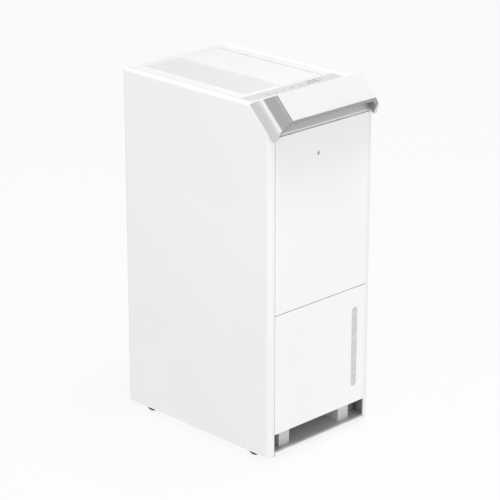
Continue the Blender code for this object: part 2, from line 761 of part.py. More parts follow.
def control_board():
    low = Z_TOP - BOARD_DROP
    top = low + BOARD_THICKNESS
    edge = 0.001
    y = (Y_PANEL[0] + 2 * edge, Y_PANEL[1] - 2 * edge)
    board = box("control_board", (-0.070, 0.090), y, (low, top), BOARD_GREEN)
    module_x = (DISPLAY[0] + edge, DISPLAY[1] - edge)
    module_y = (Y_LENS[0] + edge, Y_LENS[1] - edge)
    module_z = (top - edge / 2, Z_TOP - PANEL_THICKNESS - 2 * GAP)
    module = box("display_module", module_x, module_y, module_z)
    chip_y = (y[0] + 0.004, y[0] + 0.014)
    chip = box("controller_chip", (-0.010, 0.004), chip_y, (top - edge / 2, top + 0.002))
    fuse(board, module, chip)
    return board


# ---------------------------------------------------------------- water tank


def tank():
    z_low = Z_SLOT_TOP
    z_high = Z_SEAM - SEAM_GAP / 2
    outline = channel_outline(Y_FASCIA, 1)
    front = prism("tank_front", outline, z_low, z_high, "Z", WHITE)
    window_x = (WINDOW_CENTRE - WINDOW_WIDTH / 2, WINDOW_CENTRE + WINDOW_WIDTH / 2)
    window_z = (Z_BASE + WINDOW_SPAN[0], Z_BASE + WINDOW_SPAN[1])
    strip = filleted(rectangle(*window_x, *window_z), WINDOW_WIDTH / 2 - GAP, 6)
    opening = filleted(
        rectangle(window_x[0] - GAP, window_x[1] + GAP, window_z[0] - GAP, window_z[1] + GAP),
        WINDOW_WIDTH / 2,
        6,
    )
    cut(front, prism("window_opening", opening, Y_FASCIA - WALL, Y_FASCIA + 2 * WALL, "Y"))
    strip_y = (Y_FASCIA + 2 * GAP, Y_FASCIA + WALL - GAP)
    strip_piece = prism("level_window", strip, *strip_y, "Y", WINDOW_SMOKE)

    plan = filleted(rectangle(-TANK_HALF, TANK_HALF, *Y_TANK), TANK_RADIUS, 4)
    bucket = prism("tank_bucket", plan, Z_TANK, Z_TANK_TOP, "Z", TANK_CLEAR)
    half = TANK_HALF - TANK_WALL
    floor = rectangle(-half, half, Y_TANK[0] + TANK_WALL, Y_TANK[1] - TANK_WALL)
    inside = filleted(floor, TANK_RADIUS - TANK_WALL, 4)
    cut(bucket, prism("tank_inside", inside, Z_TANK + TANK_WALL, Z_TANK_TOP + WALL, "Z"))

    lid_z = (Z_TANK_TOP + GAP, Z_TANK_TOP + GAP + LID_THICKNESS)
    lid = prism("tank_lid", plan, *lid_z, "Z", INNER_WHITE)
    pivot = (0, Y_TANK[1] - 0.016, Z_TANK_TOP - 0.018)
    clear = FLOAT_ARM_X[0] - 2 * GAP, FLOAT_ARM_X[1] + 2 * GAP
    inner = (clear[0] - FLOAT_TAB, clear[0])
    outer = (clear[1], clear[1] + FLOAT_TAB)
    tab_half = 0.006
    tab_y = (pivot[1] - tab_half, pivot[1] + tab_half)
    tab_z = (pivot[2] - tab_half, lid_z[0] + LID_THICKNESS / 2)
    bore = FLOAT_PIN_RADIUS + PIN_CLEARANCE
    for label, x in (("inner", inner), ("outer", outer)):
        fuse(lid, box(f"float_tab_{label}", x, tab_y, tab_z))
        span = (x[0] - GAP, x[1] + GAP)
        cut(lid, rod(f"float_hole_{label}", bore, *span, pivot, "X", None, 16))
    through = (lid_z[0] - WALL, lid_z[1] + WALL)
    cut(lid, rod("lid_inlet", LID_HOLE_RADIUS, *through, (*SPOUT, 0), "Z", None, 24))

    arm_y = (pivot[1] - 0.030, pivot[1] + 0.004)
    block_y = (pivot[1] - 0.053, pivot[1] - 0.016)
    arm = box("tank_float", FLOAT_ARM_X, arm_y, (pivot[2] - 0.010, pivot[2] + 0.004), FLOAT_BLUE)
    block = box("float_block", FLOAT_X, block_y, (pivot[2] - 0.026, pivot[2] - 0.006))
    pin_reach = (clear[0] - FLOAT_TAB, clear[1] + FLOAT_TAB)
    pin = rod("float_pin", FLOAT_PIN_RADIUS, *pin_reach, pivot, "X", None, 16)
    fuse(arm, block, pin)
    centre = (sum(FLOAT_ARM_X) / 2, pivot[1], pivot[2])
    for piece in (block, pin):
        piece.location = -Vector(centre)
        piece.parent = arm
    seat(arm, centre)

    slide = bpy.data.objects.new("tank_slide", None)
    slide.location = (0, Y_FASCIA, Z_TANK)
    bpy.context.collection.objects.link(slide)
    for piece in (front, strip_piece, bucket, lid, arm):
        piece.parent = slide
        piece.matrix_parent_inverse = Matrix.Translation(-slide.location)


# ---------------------------------------------------------------- machine inside


def bulkhead():
    """Wall behind the tank with the shelf that carries the fan and the coils."""
    wall = (Y_BULKHEAD, Y_BULKHEAD + WALL)
    front = Y_FASCIA + RETURN_DEPTH + 0.004
    back = Y_BACK - RETURN_DEPTH - 0.001
    half = X_SEAM - SEAM_INSET / 2 + 0.012
    outline = [
        (front, Z_SHELF + WALL),
        (front, Z_SHELF),
        (wall[0], Z_SHELF),
        (wall[0], Z_FLOOR + GAP),
        (wall[1], Z_FLOOR + GAP),
        (wall[1], Z_SHELF),
        (back, Z_SHELF),
        (back, Z_SHELF + WALL),
    ]
    frame = prism("bulkhead", outline, -half, half, "X", INNER_WHITE)
    through = (Z_SHELF - WALL, Z_SHELF + 2 * WALL)
    for label, x, y, radius in (
        ("discharge", X_PIPES, sum(Y_CONDENSER) / 2, PIPE_RADIUS + 0.003),
        ("suction", X_PIPES, sum(Y_EVAPORATOR) / 2, PIPE_RADIUS + 0.003),
        ("spout", *SPOUT, SPOUT_RADIUS + 0.001),
    ):
        cut(frame, rod(f"{label}_pass", radius, *through, (x, y, 0), "Z", None, 20))
    return frame


def drip_tray():
    """Shallow tray under the coils with a spout over the tank and a rear drain stub."""
    x = (COIL_X[0] - 0.006, DRAIN_X + DRAIN_STUB_RADIUS + 1.5 * TRAY_WALL)
    y = (SPOUT[1] - 0.014, Y_EVAPORATOR[1] + 0.005)
    tray = box("drip_tray", x, y, (Z_TRAY, Z_TRAY + TRAY_HEIGHT), INNER_WHITE)
    spout_low = Z_TANK_TOP + 0.008
    spout = rod("drip_spout", SPOUT_RADIUS, spout_low, Z_TRAY + 0.001, (*SPOUT, 0), "Z", None, 24)
    inside = box(
        "tray_inside",
        (x[0] + TRAY_WALL, x[1] - TRAY_WALL),
        (y[0] + TRAY_WALL, y[1] - TRAY_WALL),
        (Z_TRAY + TRAY_WALL, Z_TRAY + TRAY_HEIGHT + WALL),
    )
    bore = rod("drip_bore", SPOUT_BORE, spout_low - WALL, Z_TRAY + WALL, (*SPOUT, 0), "Z", None, 16)
    drain = (DRAIN_X, 0, Z_DRAIN)
    stub = rod("drain_stub", DRAIN_STUB_RADIUS, y[1] - 0.0012, Y_DRAIN_STUB, drain, "Y", None, 24)
    bore_y = (y[1] - 2 * TRAY_WALL, Y_DRAIN_STUB + WALL)
    stub_bore = rod("drain_bore", DRAIN_BORE, *bore_y, drain, "Y", None, 16)
    cut(tray, inside)
    fuse(tray, spout, stub)
    cut(tray, bore, stub_bore)
    return tray


def coil(name, y, finish):
    """Finned block with a row of hairpin bends on its pipe side."""
    spine = (y[1] - y[0]) * 0.15
    middle = (y[0] + y[1]) / 2
    count = int((COIL_X[1] - COIL_X[0]) / FIN_PITCH)
    start = COIL_X[0]
    pitch = (COIL_X[1] - COIL_X[0] - FIN_THICKNESS) / (count - 1)
    near = []
    for i in range(count):
        low = start + i * pitch
        high = low + FIN_THICKNESS
        near += [(low, y[0]), (high, y[0])]
        if i < count - 1:
            near += [(high, middle - spine), (low + pitch, middle - spine)]
    far = [(x, 2 * middle - b) for x, b in reversed(near)]
    block = prism(name, near + far, Z_COIL, Z_COIL + COIL_HEIGHT, "Z", finish)
    pitch_z = COIL_HEIGHT / (HAIRPINS + 0.5)
    for i in range(HAIRPINS):
        low = Z_COIL + pitch_z * (i + 0.6)
        high = low + pitch_z * 0.5
        inner = COIL_X[0] + FIN_THICKNESS / 2
        outer = COIL_X[0] - 0.010
        corners = [(inner, middle, low), (outer, middle, low), (outer, middle, high), (inner, middle, high)]
        fuse(block, pipe(f"{name}_bend_{i}", bent(corners, 0.008, 2), 0.0028))
    return block


def fan():
    """Scroll housing, drum impeller on its shaft, and the motor in front of it."""
    turn_start = math.radians(100)
    turn_end = math.radians(360)
    steps = 13

    def scroll(extra, top):
        points = []
        for k in range(steps + 1):
            angle = turn_start + (turn_end - turn_start) * k / steps
            radius = SCROLL_START + SCROLL_GROWTH * k / steps + extra
            points.append((radius * math.cos(angle), Z_FAN + radius * math.sin(angle)))
        tongue = points[0][0] - (extra if extra else 0)
        points[0] = (tongue, points[0][1])
        return points + [(points[-1][0], top), (tongue, top)]

    housing = prism("fan_housing", scroll(SCROLL_WALL, Z_FAN_OUT), *Y_FAN, "Y", INNER_WHITE)
    hollow_y = (Y_FAN[0] + SCROLL_WALL, Y_FAN[1] - SCROLL_WALL)
    hollow = prism("scroll_inside", scroll(0, Z_FAN_OUT + WALL), *hollow_y, "Y")
    centre = (0, 0, Z_FAN)
    inlet = rod("fan_inlet", FAN_RADIUS - 0.018, Y_FAN[1] - WALL, Y_FAN[1] + WALL, centre, "Y", None, 40)
    through = (Y_FAN[0] - WALL, Y_FAN[0] + WALL)
    shaft_hole = rod("shaft_hole", SHAFT_RADIUS * 3, *through, centre, "Y", None, 20)
    cut(housing, hollow, inlet, shaft_hole)

    motor_y = (Y_FAN[0] - 0.007 - MOTOR_LENGTH, Y_FAN[0] - 0.007)
    hub_y = hollow_y[0] + 0.005
    drum_end = hollow_y[1] - 0.005
    shaft_tip = motor_y[1] - 0.028
    rim = 0.004
    blade_inner = FAN_RADIUS * 0.83
    profile = [
        (0, shaft_tip),
        (SHAFT_RADIUS, shaft_tip),
        (SHAFT_RADIUS, hub_y),
        (FAN_RADIUS, hub_y),
        (FAN_RADIUS, hub_y + rim),
        (SHAFT_RADIUS * 3, hub_y + rim),
        (SHAFT_RADIUS * 3, hub_y + 0.020),
        (0, hub_y + 0.020),
    ]
    drum = turned("fan_impeller", profile, centre, "Y", INNER_WHITE, 32)
    ring = turned(
        "impeller_ring",
        rectangle(blade_inner, FAN_RADIUS, drum_end - rim, drum_end),
        centre,
        "Y",
        None,
        32,
    )
    vertices = []
    faces = []
    quads = [(0, 1, 2, 3), (4, 5, 6, 7), (0, 1, 5, 4), (1, 2, 6, 5), (2, 3, 7, 6), (3, 0, 4, 7)]
    for k in range(FAN_BLADES):
        angle = 2 * math.pi * k / FAN_BLADES
        lean = math.radians(18)
        start = Vector((math.cos(angle), math.sin(angle))) * (blade_inner + 0.001)
        end = Vector((math.cos(angle + lean / 2), math.sin(angle + lean / 2))) * (FAN_RADIUS - 0.001)
        across = Vector((-(end - start).y, (end - start).x)).normalized() * 0.0008
        corners = [start - across, end - across, end + across, start + across]
        base = len(vertices)
        vertices += [(c.x, y, Z_FAN + c.y) for y in (hub_y + rim / 2, drum_end - rim / 2) for c in corners]
        faces += [tuple(base + i for i in quad) for quad in quads]
    blades = mesh_object("impeller_blades", vertices, faces)
    fuse(drum, blades, ring)
    for piece in (blades, ring):
        piece.location = (0, 0, -Z_FAN)
        piece.parent = drum
    seat(drum, centre)

    bore = SHAFT_RADIUS + PIN_CLEARANCE
    soft = 0.004
    turned(
        "fan_motor",
        [
            (0, motor_y[0]),
            (MOTOR_RADIUS - soft, motor_y[0]),
            (MOTOR_RADIUS, motor_y[0] + soft),
            (MOTOR_RADIUS, motor_y[1] - soft),
            (MOTOR_RADIUS - soft, motor_y[1]),
            (bore, motor_y[1]),
            (bore, shaft_tip - 0.001),
            (0, shaft_tip - 0.001),
        ],
        centre,
        "Y",
        STEEL,
        28,
    )
    mount_y = (motor_y[1] + GAP, Y_FAN[0] - GAP)
    hole = SHAFT_RADIUS * 3
    ring_profile = rectangle(hole, MOTOR_MOUNT_RADIUS, *mount_y)
    turned("motor_mount", ring_profile, centre, "Y", BLACK_STEEL, 28)

    right = SCROLL_START + SCROLL_GROWTH + SCROLL_WALL
    left = (SCROLL_START + SCROLL_WALL) * math.cos(turn_start) - SCROLL_WALL
    low = rectangle(left, right, *Y_FAN)
    high = rectangle(-OUTLET_HALF, OUTLET_HALF, *Y_OUTLET)
    z = (Z_FAN_OUT + GAP, Z_DUCT_TOP)
    outer = ([(a, b, z[0]) for a, b in low], [(a, b, z[1]) for a, b in high])
    duct = loft("outlet_duct", *outer, INNER_WHITE)
    wall = DUCT_WALL
    low = rectangle(left + wall, right - wall, Y_FAN[0] + wall, Y_FAN[1] - wall)
    high = rectangle(-OUTLET_HALF + wall, OUTLET_HALF - wall, Y_OUTLET[0] + wall, Y_OUTLET[1] - wall)
    grow = 0.0001
    inner = ([(a, b, z[0] - grow) for a, b in low], [(a, b, z[1] + grow) for a, b in high])
    cut(duct, loft("duct_inside", *inner))


def refrigeration():
    x = -0.020
    y = (Y_BULKHEAD + WALL + Y_BACK) / 2
    feet_z = Z_FLOOR + GAP + GROMMET_HEIGHT + GAP
    low = feet_z + 0.003
    high = low + COMPRESSOR_HEIGHT
    dome = 0.022
    r = COMPRESSOR_RADIUS
    profile = [(0, low - 0.001), (r * 0.75, low - 0.001), (r, low + dome), (r, high - dome)]
    profile += [(r * 0.9, high - dome * 0.4), (r * 0.55, high - 0.002), (0, high)]
    can = turned("compressor", profile, (x, y, 0), "Z", BLACK_STEEL, 40)
    feet = []
    for k in range(3):
        angle = math.radians(90 + 120 * k)
        feet.append((x + 0.072 * math.cos(angle), y + 0.072 * math.sin(angle)))
    plate = prism("compressor_plate", filleted(feet, 0.010, 4), feet_z, feet_z + 0.003, "Z")
    fuse(can, plate)
    for k in range(3):
        angle = math.radians(90 + 120 * k)
        spot = (x + 0.048 * math.cos(angle), y + 0.048 * math.sin(angle), 0)
        foot = (Z_FLOOR + GAP, Z_FLOOR + GAP + GROMMET_HEIGHT)
        rod(f"compressor_grommet_{k + 1}", GROMMET_RADIUS, *foot, spot, "Z", RUBBER, 20)

    vessel_x = x + r + 0.008 + ACCUMULATOR_RADIUS
    vessel_z = (low + 0.040, low + 0.150)
    a = ACCUMULATOR_RADIUS
    cap = 0.010
    profile = [(0, vessel_z[0]), (a * 0.5, vessel_z[0]), (a, vessel_z[0] + cap), (a, vessel_z[1] - cap)]
    profile += [(a * 0.5, vessel_z[1]), (0, vessel_z[1])]
    turned("accumulator", profile, (vessel_x, y, 0), "Z", BLACK_STEEL, 24)

    entry_z = low + 0.024
    corners = [(vessel_x, y, vessel_z[0] - GAP), (vessel_x, y, entry_z), (x + r + GAP, y, entry_z)]
    pipe("compressor_inlet_pipe", bent(corners, 0.009), PIPE_RADIUS * 0.9, COPPER)

    hot_y = sum(Y_CONDENSER) / 2
    cold_y = sum(Y_EVAPORATOR) / 2
    face = COIL_X[0] - GAP
    over = high + 0.016
    pitch_z = COIL_HEIGHT / (HAIRPINS + 0.5)
    hot_z = Z_COIL + (HAIRPINS + 0.33) * pitch_z
    corners = [(x, y, high + GAP), (x, y, over), (x, hot_y, over)]
    corners += [(X_PIPES, hot_y, over), (X_PIPES, hot_y, hot_z), (face, hot_y, hot_z)]
    pipe("discharge_line", bent(corners, 0.009), PIPE_RADIUS * 0.9, COPPER)

    cold_z = Z_TRAY + TRAY_HEIGHT + PIPE_RADIUS + 0.001
    corners = [(face, cold_y, cold_z), (X_PIPES, cold_y, cold_z), (X_PIPES, cold_y, over)]
    corners += [(vessel_x, cold_y, over), (vessel_x, y, over), (vessel_x, y, vessel_z[1] + GAP)]
    pipe("suction_line", bent(corners, 0.009), PIPE_RADIUS, COPPER)

    loop_centre = (X_PIPES + 0.006, (hot_y + cold_y) / 2)
    loop_radius = 0.007
    lead = 0.010
    loop_z = (Z_COIL + 1.35 * pitch_z + lead, Z_COIL + 2.35 * pitch_z - lead)
    turns = 4
    loop = []
    for k in range(turns * 10 + 1):
        angle = -math.pi / 2 + 2 * math.pi * k / 10
        rise = loop_z[0] + (loop_z[1] - loop_z[0]) * k / (turns * 10)
        across = loop_centre[0] + loop_radius * math.cos(angle)
        along = loop_centre[1] + loop_radius * math.sin(angle)
        loop.append((across, along, rise))
    first = [(x, hot_y, loop_z[0] - lead) for x in (face, loop_centre[0])]
    last = [(x, cold_y, loop_z[1] + lead) for x in (loop_centre[0], face)]
    pipe("capillary_tube", first + loop + last, CAPILLARY_RADIUS, COPPER, 0)

    spot = (0.086, Y_BULKHEAD + 0.034, 0)
    base = Z_FLOOR + GAP
    top = Z_FLOOR + CAPACITOR_HEIGHT
    rim = CAPACITOR_RADIUS - 0.003
    profile = [(0, base), (CAPACITOR_RADIUS, base), (CAPACITOR_RADIUS, top - 0.002), (rim, top), (0, top)]
    turned("run_capacitor", profile, spot, "Z", ALUMINIUM, 24)


def sensors():
    face = Y_BULKHEAD + WALL + GAP
    z = Z_TANK_TOP - 0.030
    x = (FLOAT_X[0] - 0.002, FLOAT_X[1] + 0.002)
    box("tank_switch", x, (face, face + 0.012), (z, z + 0.026), BLACK_STEEL)
    back = Y_BACK - WALL - GAP
    top = Z_COIL + COIL_HEIGHT + 0.020
    box("humidity_sensor", (-0.106, -0.090), (back - 0.009, back), (top, top + 0.026), INNER_WHITE)


def rear_fittings():
    window = (Z_COIL + 2 * GAP, Z_COIL + COIL_HEIGHT)
    y = (Y_BACK - FILTER_THICKNESS, Y_BACK - GAP)
    cassette = box("air_filter", (-FILTER_HALF, FILTER_HALF), y, window, WHITE)
    rim = 0.008
    bar = 0.005
    pitch = (window[1] - window[0] - 2 * rim + bar) / FILTER_SLATS
    slots = []
    for k in range(FILTER_SLATS):
        low = window[0] + rim + k * pitch
        for side in (-1, 1):
            span = sorted((side * bar / 2, side * (FILTER_HALF - rim)))
            slots.append((span, (y[0] - WALL, y[1] + WALL), (low, low + pitch - bar)))
    cut(cassette, boxes("filter_slots", slots))
    seat(cassette, (0, Y_BACK, sum(window) / 2))

    profile = [
        (GLAND_RADIUS * 0.55, Y_BACK - 0.016),
        (GLAND_RADIUS, Y_BACK - 0.016),
        (GLAND_RADIUS, Y_BACK - 0.0075),
        (GLAND_RADIUS + 0.003, Y_BACK - 0.0075),
        (GLAND_RADIUS + 0.003, Y_BACK - WALL - GAP),
        (GLAND_RADIUS, Y_BACK - WALL - GAP),
        (GLAND_RADIUS, Y_BACK - GAP),
        (GLAND_RADIUS * 0.55, Y_BACK - GAP),
    ]
    turned("cord_gland", profile, (GLAND_X, 0, GLAND_Z), "Y", RUBBER, 24)

    plug = DRAIN_BORE - GAP
    cap = DRAIN_HOLE_RADIUS - 2 * GAP
    profile = [
        (0, Y_DRAIN_STUB - 0.006),
        (plug, Y_DRAIN_STUB - 0.006),
        (plug, Y_DRAIN_STUB + GAP),
        (cap, Y_DRAIN_STUB + GAP),
        (cap, Y_BACK - 2 * GAP),
        (0, Y_BACK - 2 * GAP),
    ]
    stopper = turned("drain_cap", profile, (DRAIN_X, 0, Z_DRAIN), "Y", RUBBER, 24)
    seat(stopper, (DRAIN_X, Y_BACK, Z_DRAIN))


side_panel("side_panel_left", -1)
side_panel("side_panel_right", 1)
base_pan()
rollers()
front_panel()
rear_cover()
top_deck()
visor()
outlet_grille()
outlet_flap()
control_panel()
control_board()
tank()
bulkhead()
drip_tray()
coil("evaporator", Y_EVAPORATOR, ALUMINIUM)
coil("condenser", Y_CONDENSER, ALUMINIUM)
fan()
refrigeration()
sensors()
rear_fittings()
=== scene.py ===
"""Looks for the slim tower dehumidifier: materials, fine surface pieces, studio and camera."""

import math

import bmesh
import bpy
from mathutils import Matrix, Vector


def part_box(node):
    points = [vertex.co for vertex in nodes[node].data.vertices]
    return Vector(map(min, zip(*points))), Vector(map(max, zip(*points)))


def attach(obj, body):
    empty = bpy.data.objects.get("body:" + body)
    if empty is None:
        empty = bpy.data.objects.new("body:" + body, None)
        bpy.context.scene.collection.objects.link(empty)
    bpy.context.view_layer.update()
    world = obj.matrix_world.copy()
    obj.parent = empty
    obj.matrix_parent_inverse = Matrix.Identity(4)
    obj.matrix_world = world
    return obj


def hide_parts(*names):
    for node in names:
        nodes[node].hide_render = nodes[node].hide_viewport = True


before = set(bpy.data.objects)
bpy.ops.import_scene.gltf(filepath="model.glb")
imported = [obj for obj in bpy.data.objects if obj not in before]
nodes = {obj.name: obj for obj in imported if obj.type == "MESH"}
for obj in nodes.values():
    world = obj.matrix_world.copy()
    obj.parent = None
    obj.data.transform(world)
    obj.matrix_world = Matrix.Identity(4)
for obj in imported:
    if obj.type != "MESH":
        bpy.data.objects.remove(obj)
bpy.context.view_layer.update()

# ---------------------------------------------------------------- places read from the frame

PANEL_LOW, PANEL_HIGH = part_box("control_panel")
GRILLE_LOW, GRILLE_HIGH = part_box("outlet_grille")
LENS_LOW, LENS_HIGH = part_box("display_window")
FRONT_LOW, FRONT_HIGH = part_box("front_panel")
REAR_LOW, REAR_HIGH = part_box("rear_cover")
FILTER_LOW, FILTER_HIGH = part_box("air_filter")
WHEELS = ("front_left", "front_right", "rear_left", "rear_right")

# Base pan: height of its front strip, half width where the slot's end webs with their darker painted shade
# start, slot's top (also the top of the side shells' painted shade)
STRIP_TOP = 0.019
WEB_START = 0.0885
SLOT_TOP = 0.056

# Half width up to which a side shell's wall counts as its inner face, which gets painted shade in the
# slot; fold of the top deck, where its painted light changes
OUTER_FACE = 0.1224
DECK_FOLD = -0.1185

# Camera, in the frame's metres and degrees
CAMERA_SPOT = (-2.5147, -2.5435, 1.6157)
CAMERA_YAW = 44.6125
CAMERA_PITCH = 19.949
CAMERA_LENS = 156.45
SENSOR = 36.0

# Half widths of the cowl between which its facets turn into its legs, the span of its painted shade and
# painted highlight
VISOR_PAINTED_LIGHT_SPAN = (0.104, 0.124)

# Soft boxes: place, point they face, width and height, power in watts
SOFTBOXES = {
    "front_softbox": ((0.8, -3.3, 0.40), (0, 0, 0.20), (2.4, 0.8), 26),
    "left_softbox": ((-3.3, -0.6, 1.0), (0, 0, 0.35), (2.4, 2.4), 40),
    "top_softbox": ((0.1, -0.55, 3.4), (0, -0.15, 0.6), (2.4, 0.7), 92),
}
ROOM_LIGHT = 0.42
FLOOR_LIGHT = 0.90
FLOOR_REACH = 30.0

# Noise scales of moulded plastic: flow marks, uneven sheen, spark-eroded grain; the grain's depth
FLOW_SCALE = 5.0
SHEEN_SCALE = 28.0
GRAIN_SCALE = 1400.0
GRAIN_DEPTH = 0.00004

# Printed layers: how far they start under a surface and end over it
PRINT_DEPTH = 0.0001
PRINT_HEIGHT = 0.00012

# ---------------------------------------------------------------- node helpers


def shader_of(name):
    """New material with its node tree, its Principled shader and its coordinates in metres."""
    made = bpy.data.materials.new(name)
    made.use_nodes = True
    tree = made.node_tree
    shader = tree.nodes["Principled BSDF"]
    place = tree.nodes.new("ShaderNodeTexCoord").outputs["Object"]
    return made, tree, shader, place


def noise(tree, place, scale, detail=3.0, stretch=None):
    if stretch:
        mapping = tree.nodes.new("ShaderNodeMapping")
        mapping.inputs["Scale"].default_value = stretch
        tree.links.new(place, mapping.inputs["Vector"])
        place = mapping.outputs["Vector"]
    texture = tree.nodes.new("ShaderNodeTexNoise")
    texture.inputs["Scale"].default_value = scale
    texture.inputs["Detail"].default_value = detail
    tree.links.new(place, texture.inputs["Vector"])
    return texture.outputs["Fac"]


def ramp(tree, value, low, high, start=0.35, end=0.65):
    """Colours between two ends of a noise value; low and high are RGB or single numbers."""
    band = tree.nodes.new("ShaderNodeValToRGB")
    colour = lambda c: (*c, 1.0) if isinstance(c, tuple) else (c, c, c, 1.0)
    band.color_ramp.elements[0].position = start
    band.color_ramp.elements[0].color = colour(low)
    band.color_ramp.elements[1].position = end
    band.color_ramp.elements[1].color = colour(high)
    tree.links.new(value, band.inputs["Fac"])
    return band.outputs["Color"]


def bump(tree, shader, height, distance):
    node = tree.nodes.new("ShaderNodeBump")
    node.inputs["Strength"].default_value = 1.0
    node.inputs["Distance"].default_value = distance
    tree.links.new(height, node.inputs["Height"])
    tree.links.new(node.outputs["Normal"], shader.inputs["Normal"])


def beyond(tree, value, limit):
    """One where the value is over the limit, zero elsewhere."""
    step = tree.nodes.new("ShaderNodeMath")
    step.operation = "GREATER_THAN"
    step.inputs[1].default_value = limit
    tree.links.new(value, step.inputs[0])
    return step.outputs[0]


def mixed(tree, factor, first, second):
    """The first colour where the factor is zero, the second where it is one."""
    node = tree.nodes.new("ShaderNodeMixRGB")
    tree.links.new(factor, node.inputs["Fac"])
    tree.links.new(first, node.inputs["Color1"])
    tree.links.new(second, node.inputs["Color2"])
    return node.outputs["Color"]


def split_place(tree, place):
    """The place's axes, and its distance from the middle plane."""
    split = tree.nodes.new("ShaderNodeSeparateXYZ")
    tree.links.new(place, split.inputs["Vector"])
    half = tree.nodes.new("ShaderNodeMath")
    half.operation = "ABSOLUTE"
    tree.links.new(split.outputs["X"], half.inputs[0])
    return split, half.outputs[0]


def skin(tree, shader, place, sheen, grain=GRAIN_DEPTH, grain_scale=GRAIN_SCALE):
    """Uneven sheen between two roughness values, and a spark-eroded grain."""
    patches = noise(tree, place, SHEEN_SCALE, 5.0)
    tree.links.new(ramp(tree, patches, *sheen), shader.inputs["Roughness"])
    bump(tree, shader, noise(tree, place, grain_scale, 2.0), grain)


def shade(colour, factor):
    return tuple(min(1.0, c * factor) for c in colour)


def moulded(name, colour, roughness, grain=GRAIN_DEPTH, grain_scale=GRAIN_SCALE, spread=0.012):
    """Injection-moulded plastic: spark-eroded grain, faint flow marks, uneven sheen."""
    made, tree, shader, place = shader_of(name)
    flow = noise(tree, place, FLOW_SCALE, 4.0)
    tint = ramp(tree, flow, shade(colour, 1 - spread), shade(colour, 1 + spread))
    tree.links.new(tint, shader.inputs["Base Color"])
    skin(tree, shader, place, (roughness - 0.04, roughness + 0.05), grain, grain_scale)
    return made


def metal(name, colour, roughness, stretch=(1, 1, 1), scale=900.0, metallic=1.0, depth=0.00002):
    """Drawn or brushed metal with streaks along one direction."""
    made, tree, shader, place = shader_of(name)
    shader.inputs["Metallic"].default_value = metallic
    streaks = noise(tree, place, scale, 3.0, stretch)
    tint = ramp(tree, streaks, shade(colour, 0.9), shade(colour, 1.08))
    tree.links.new(tint, shader.inputs["Base Color"])
    tree.links.new(ramp(tree, streaks, roughness - 0.06, roughness + 0.08), shader.inputs["Roughness"])
    bump(tree, shader, streaks, depth)
    return made


def clear_plastic(name, colour, roughness, alpha):
    """Translucent plastic with a slight frost."""
    made, tree, shader, place = shader_of(name)
    haze = noise(tree, place, 60.0, 3.0)
    tree.links.new(ramp(tree, haze, shade(colour, 0.96), shade(colour, 1.03)), shader.inputs["Base Color"])
    tree.links.new(ramp(tree, haze, roughness, roughness + 0.08), shader.inputs["Roughness"])
    bump(tree, shader, noise(tree, place, 500.0, 2.0), 0.00003)
    shader.inputs["Alpha"].default_value = alpha
    return made


def visor_with_painted_light():
    """Satin silver paint with painted light: pale side legs, a painted highlight as a bright line along
    each bend, and painted shade that darkens the facets.
    """
    made, tree, shader, place = shader_of("silver_visor_painted_light")
    half = split_place(tree, place)[1]
    share = tree.nodes.new("ShaderNodeMapRange")
    share.inputs["From Min"].default_value = VISOR_PAINTED_LIGHT_SPAN[0]
    share.inputs["From Max"].default_value = VISOR_PAINTED_LIGHT_SPAN[1]
    tree.links.new(half, share.inputs["Value"])
    # Painted shade on the facets and a painted highlight along each bend, set by half width
    painted_light_tones = tree.nodes.new("ShaderNodeValToRGB")
    stops = painted_light_tones.color_ramp.elements
    stops[0].color = (0.30, 0.30, 0.305, 1.0)
    stops[1].color = (0.54, 0.54, 0.545, 1.0)
    for position, tone in ((0.54, 0.30), (0.64, 0.68), (0.74, 0.68), (0.86, 0.54)):
        stops.new(position).color = (tone, tone, tone * 1.01, 1.0)
    tree.links.new(share.outputs["Result"], painted_light_tones.inputs["Fac"])
    flake = noise(tree, place, 2600.0)
    flaked = tree.nodes.new("ShaderNodeMixRGB")
    flaked.blend_type = "MULTIPLY"
    flaked.inputs["Fac"].default_value = 1.0
    tree.links.new(painted_light_tones.outputs["Color"], flaked.inputs["Color1"])
    tree.links.new(ramp(tree, flake, 0.94, 1.06), flaked.inputs["Color2"])
    tree.links.new(flaked.outputs["Color"], shader.inputs["Base Color"])
    shader.inputs["Metallic"].default_value = 0.2
    tree.links.new(ramp(tree, noise(tree, place, 30.0), 0.36, 0.46), shader.inputs["Roughness"])
    bump(tree, shader, flake, 0.00001)
    return made


def side_plastic():
    """White shell with painted shade: dark grey on the inner face beside the finger slot."""
    made, tree, shader, place = shader_of("side_moulding_painted_shade")
    split, half = split_place(tree, place)
    flow = noise(tree, place, FLOW_SCALE, 4.0)
    outer = ramp(tree, flow, 0.812, 0.828)
    # Painted shade: the inner face within the finger slot is painted dark grey, where the slot's shade
    # falls
    inner = ramp(tree, flow, 0.30, 0.33)
    slot = mixed(tree, beyond(tree, split.outputs["Y"], FRONT_LOW.y + 0.006), outer, inner)
    behind = mixed(tree, beyond(tree, split.outputs["Y"], 0.0), slot, outer)
    low = mixed(tree, beyond(tree, split.outputs["Z"], SLOT_TOP), behind, outer)
    tint = mixed(tree, beyond(tree, half, OUTER_FACE), low, outer)
    tree.links.new(tint, shader.inputs["Base Color"])
    skin(tree, shader, place, (0.44, 0.53))
    return made


def deck_plastic():
    """White deck with painted light: the part slanting under the visor is painted brighter than the top,
    against the visor's shadow, and the top is painted darker against the strong top light.
    """
    made, tree, shader, place = shader_of("deck_moulding_painted_light")
    split = split_place(tree, place)[0]
    flow = noise(tree, place, FLOW_SCALE, 4.0)
    # Painted light: the slanting part under the visor brighter, the top darker, evening out the visor's
    # shadow and the top light
    slope_painted_light = ramp(tree, flow, 0.90, 0.92)
    top = ramp(tree, flow, 0.683, 0.697)
    tint = mixed(tree, beyond(tree, split.outputs["Y"], DECK_FOLD), slope_painted_light, top)
    tree.links.new(tint, shader.inputs["Base Color"])
    skin(tree, shader, place, (0.41, 0.50))
    return made


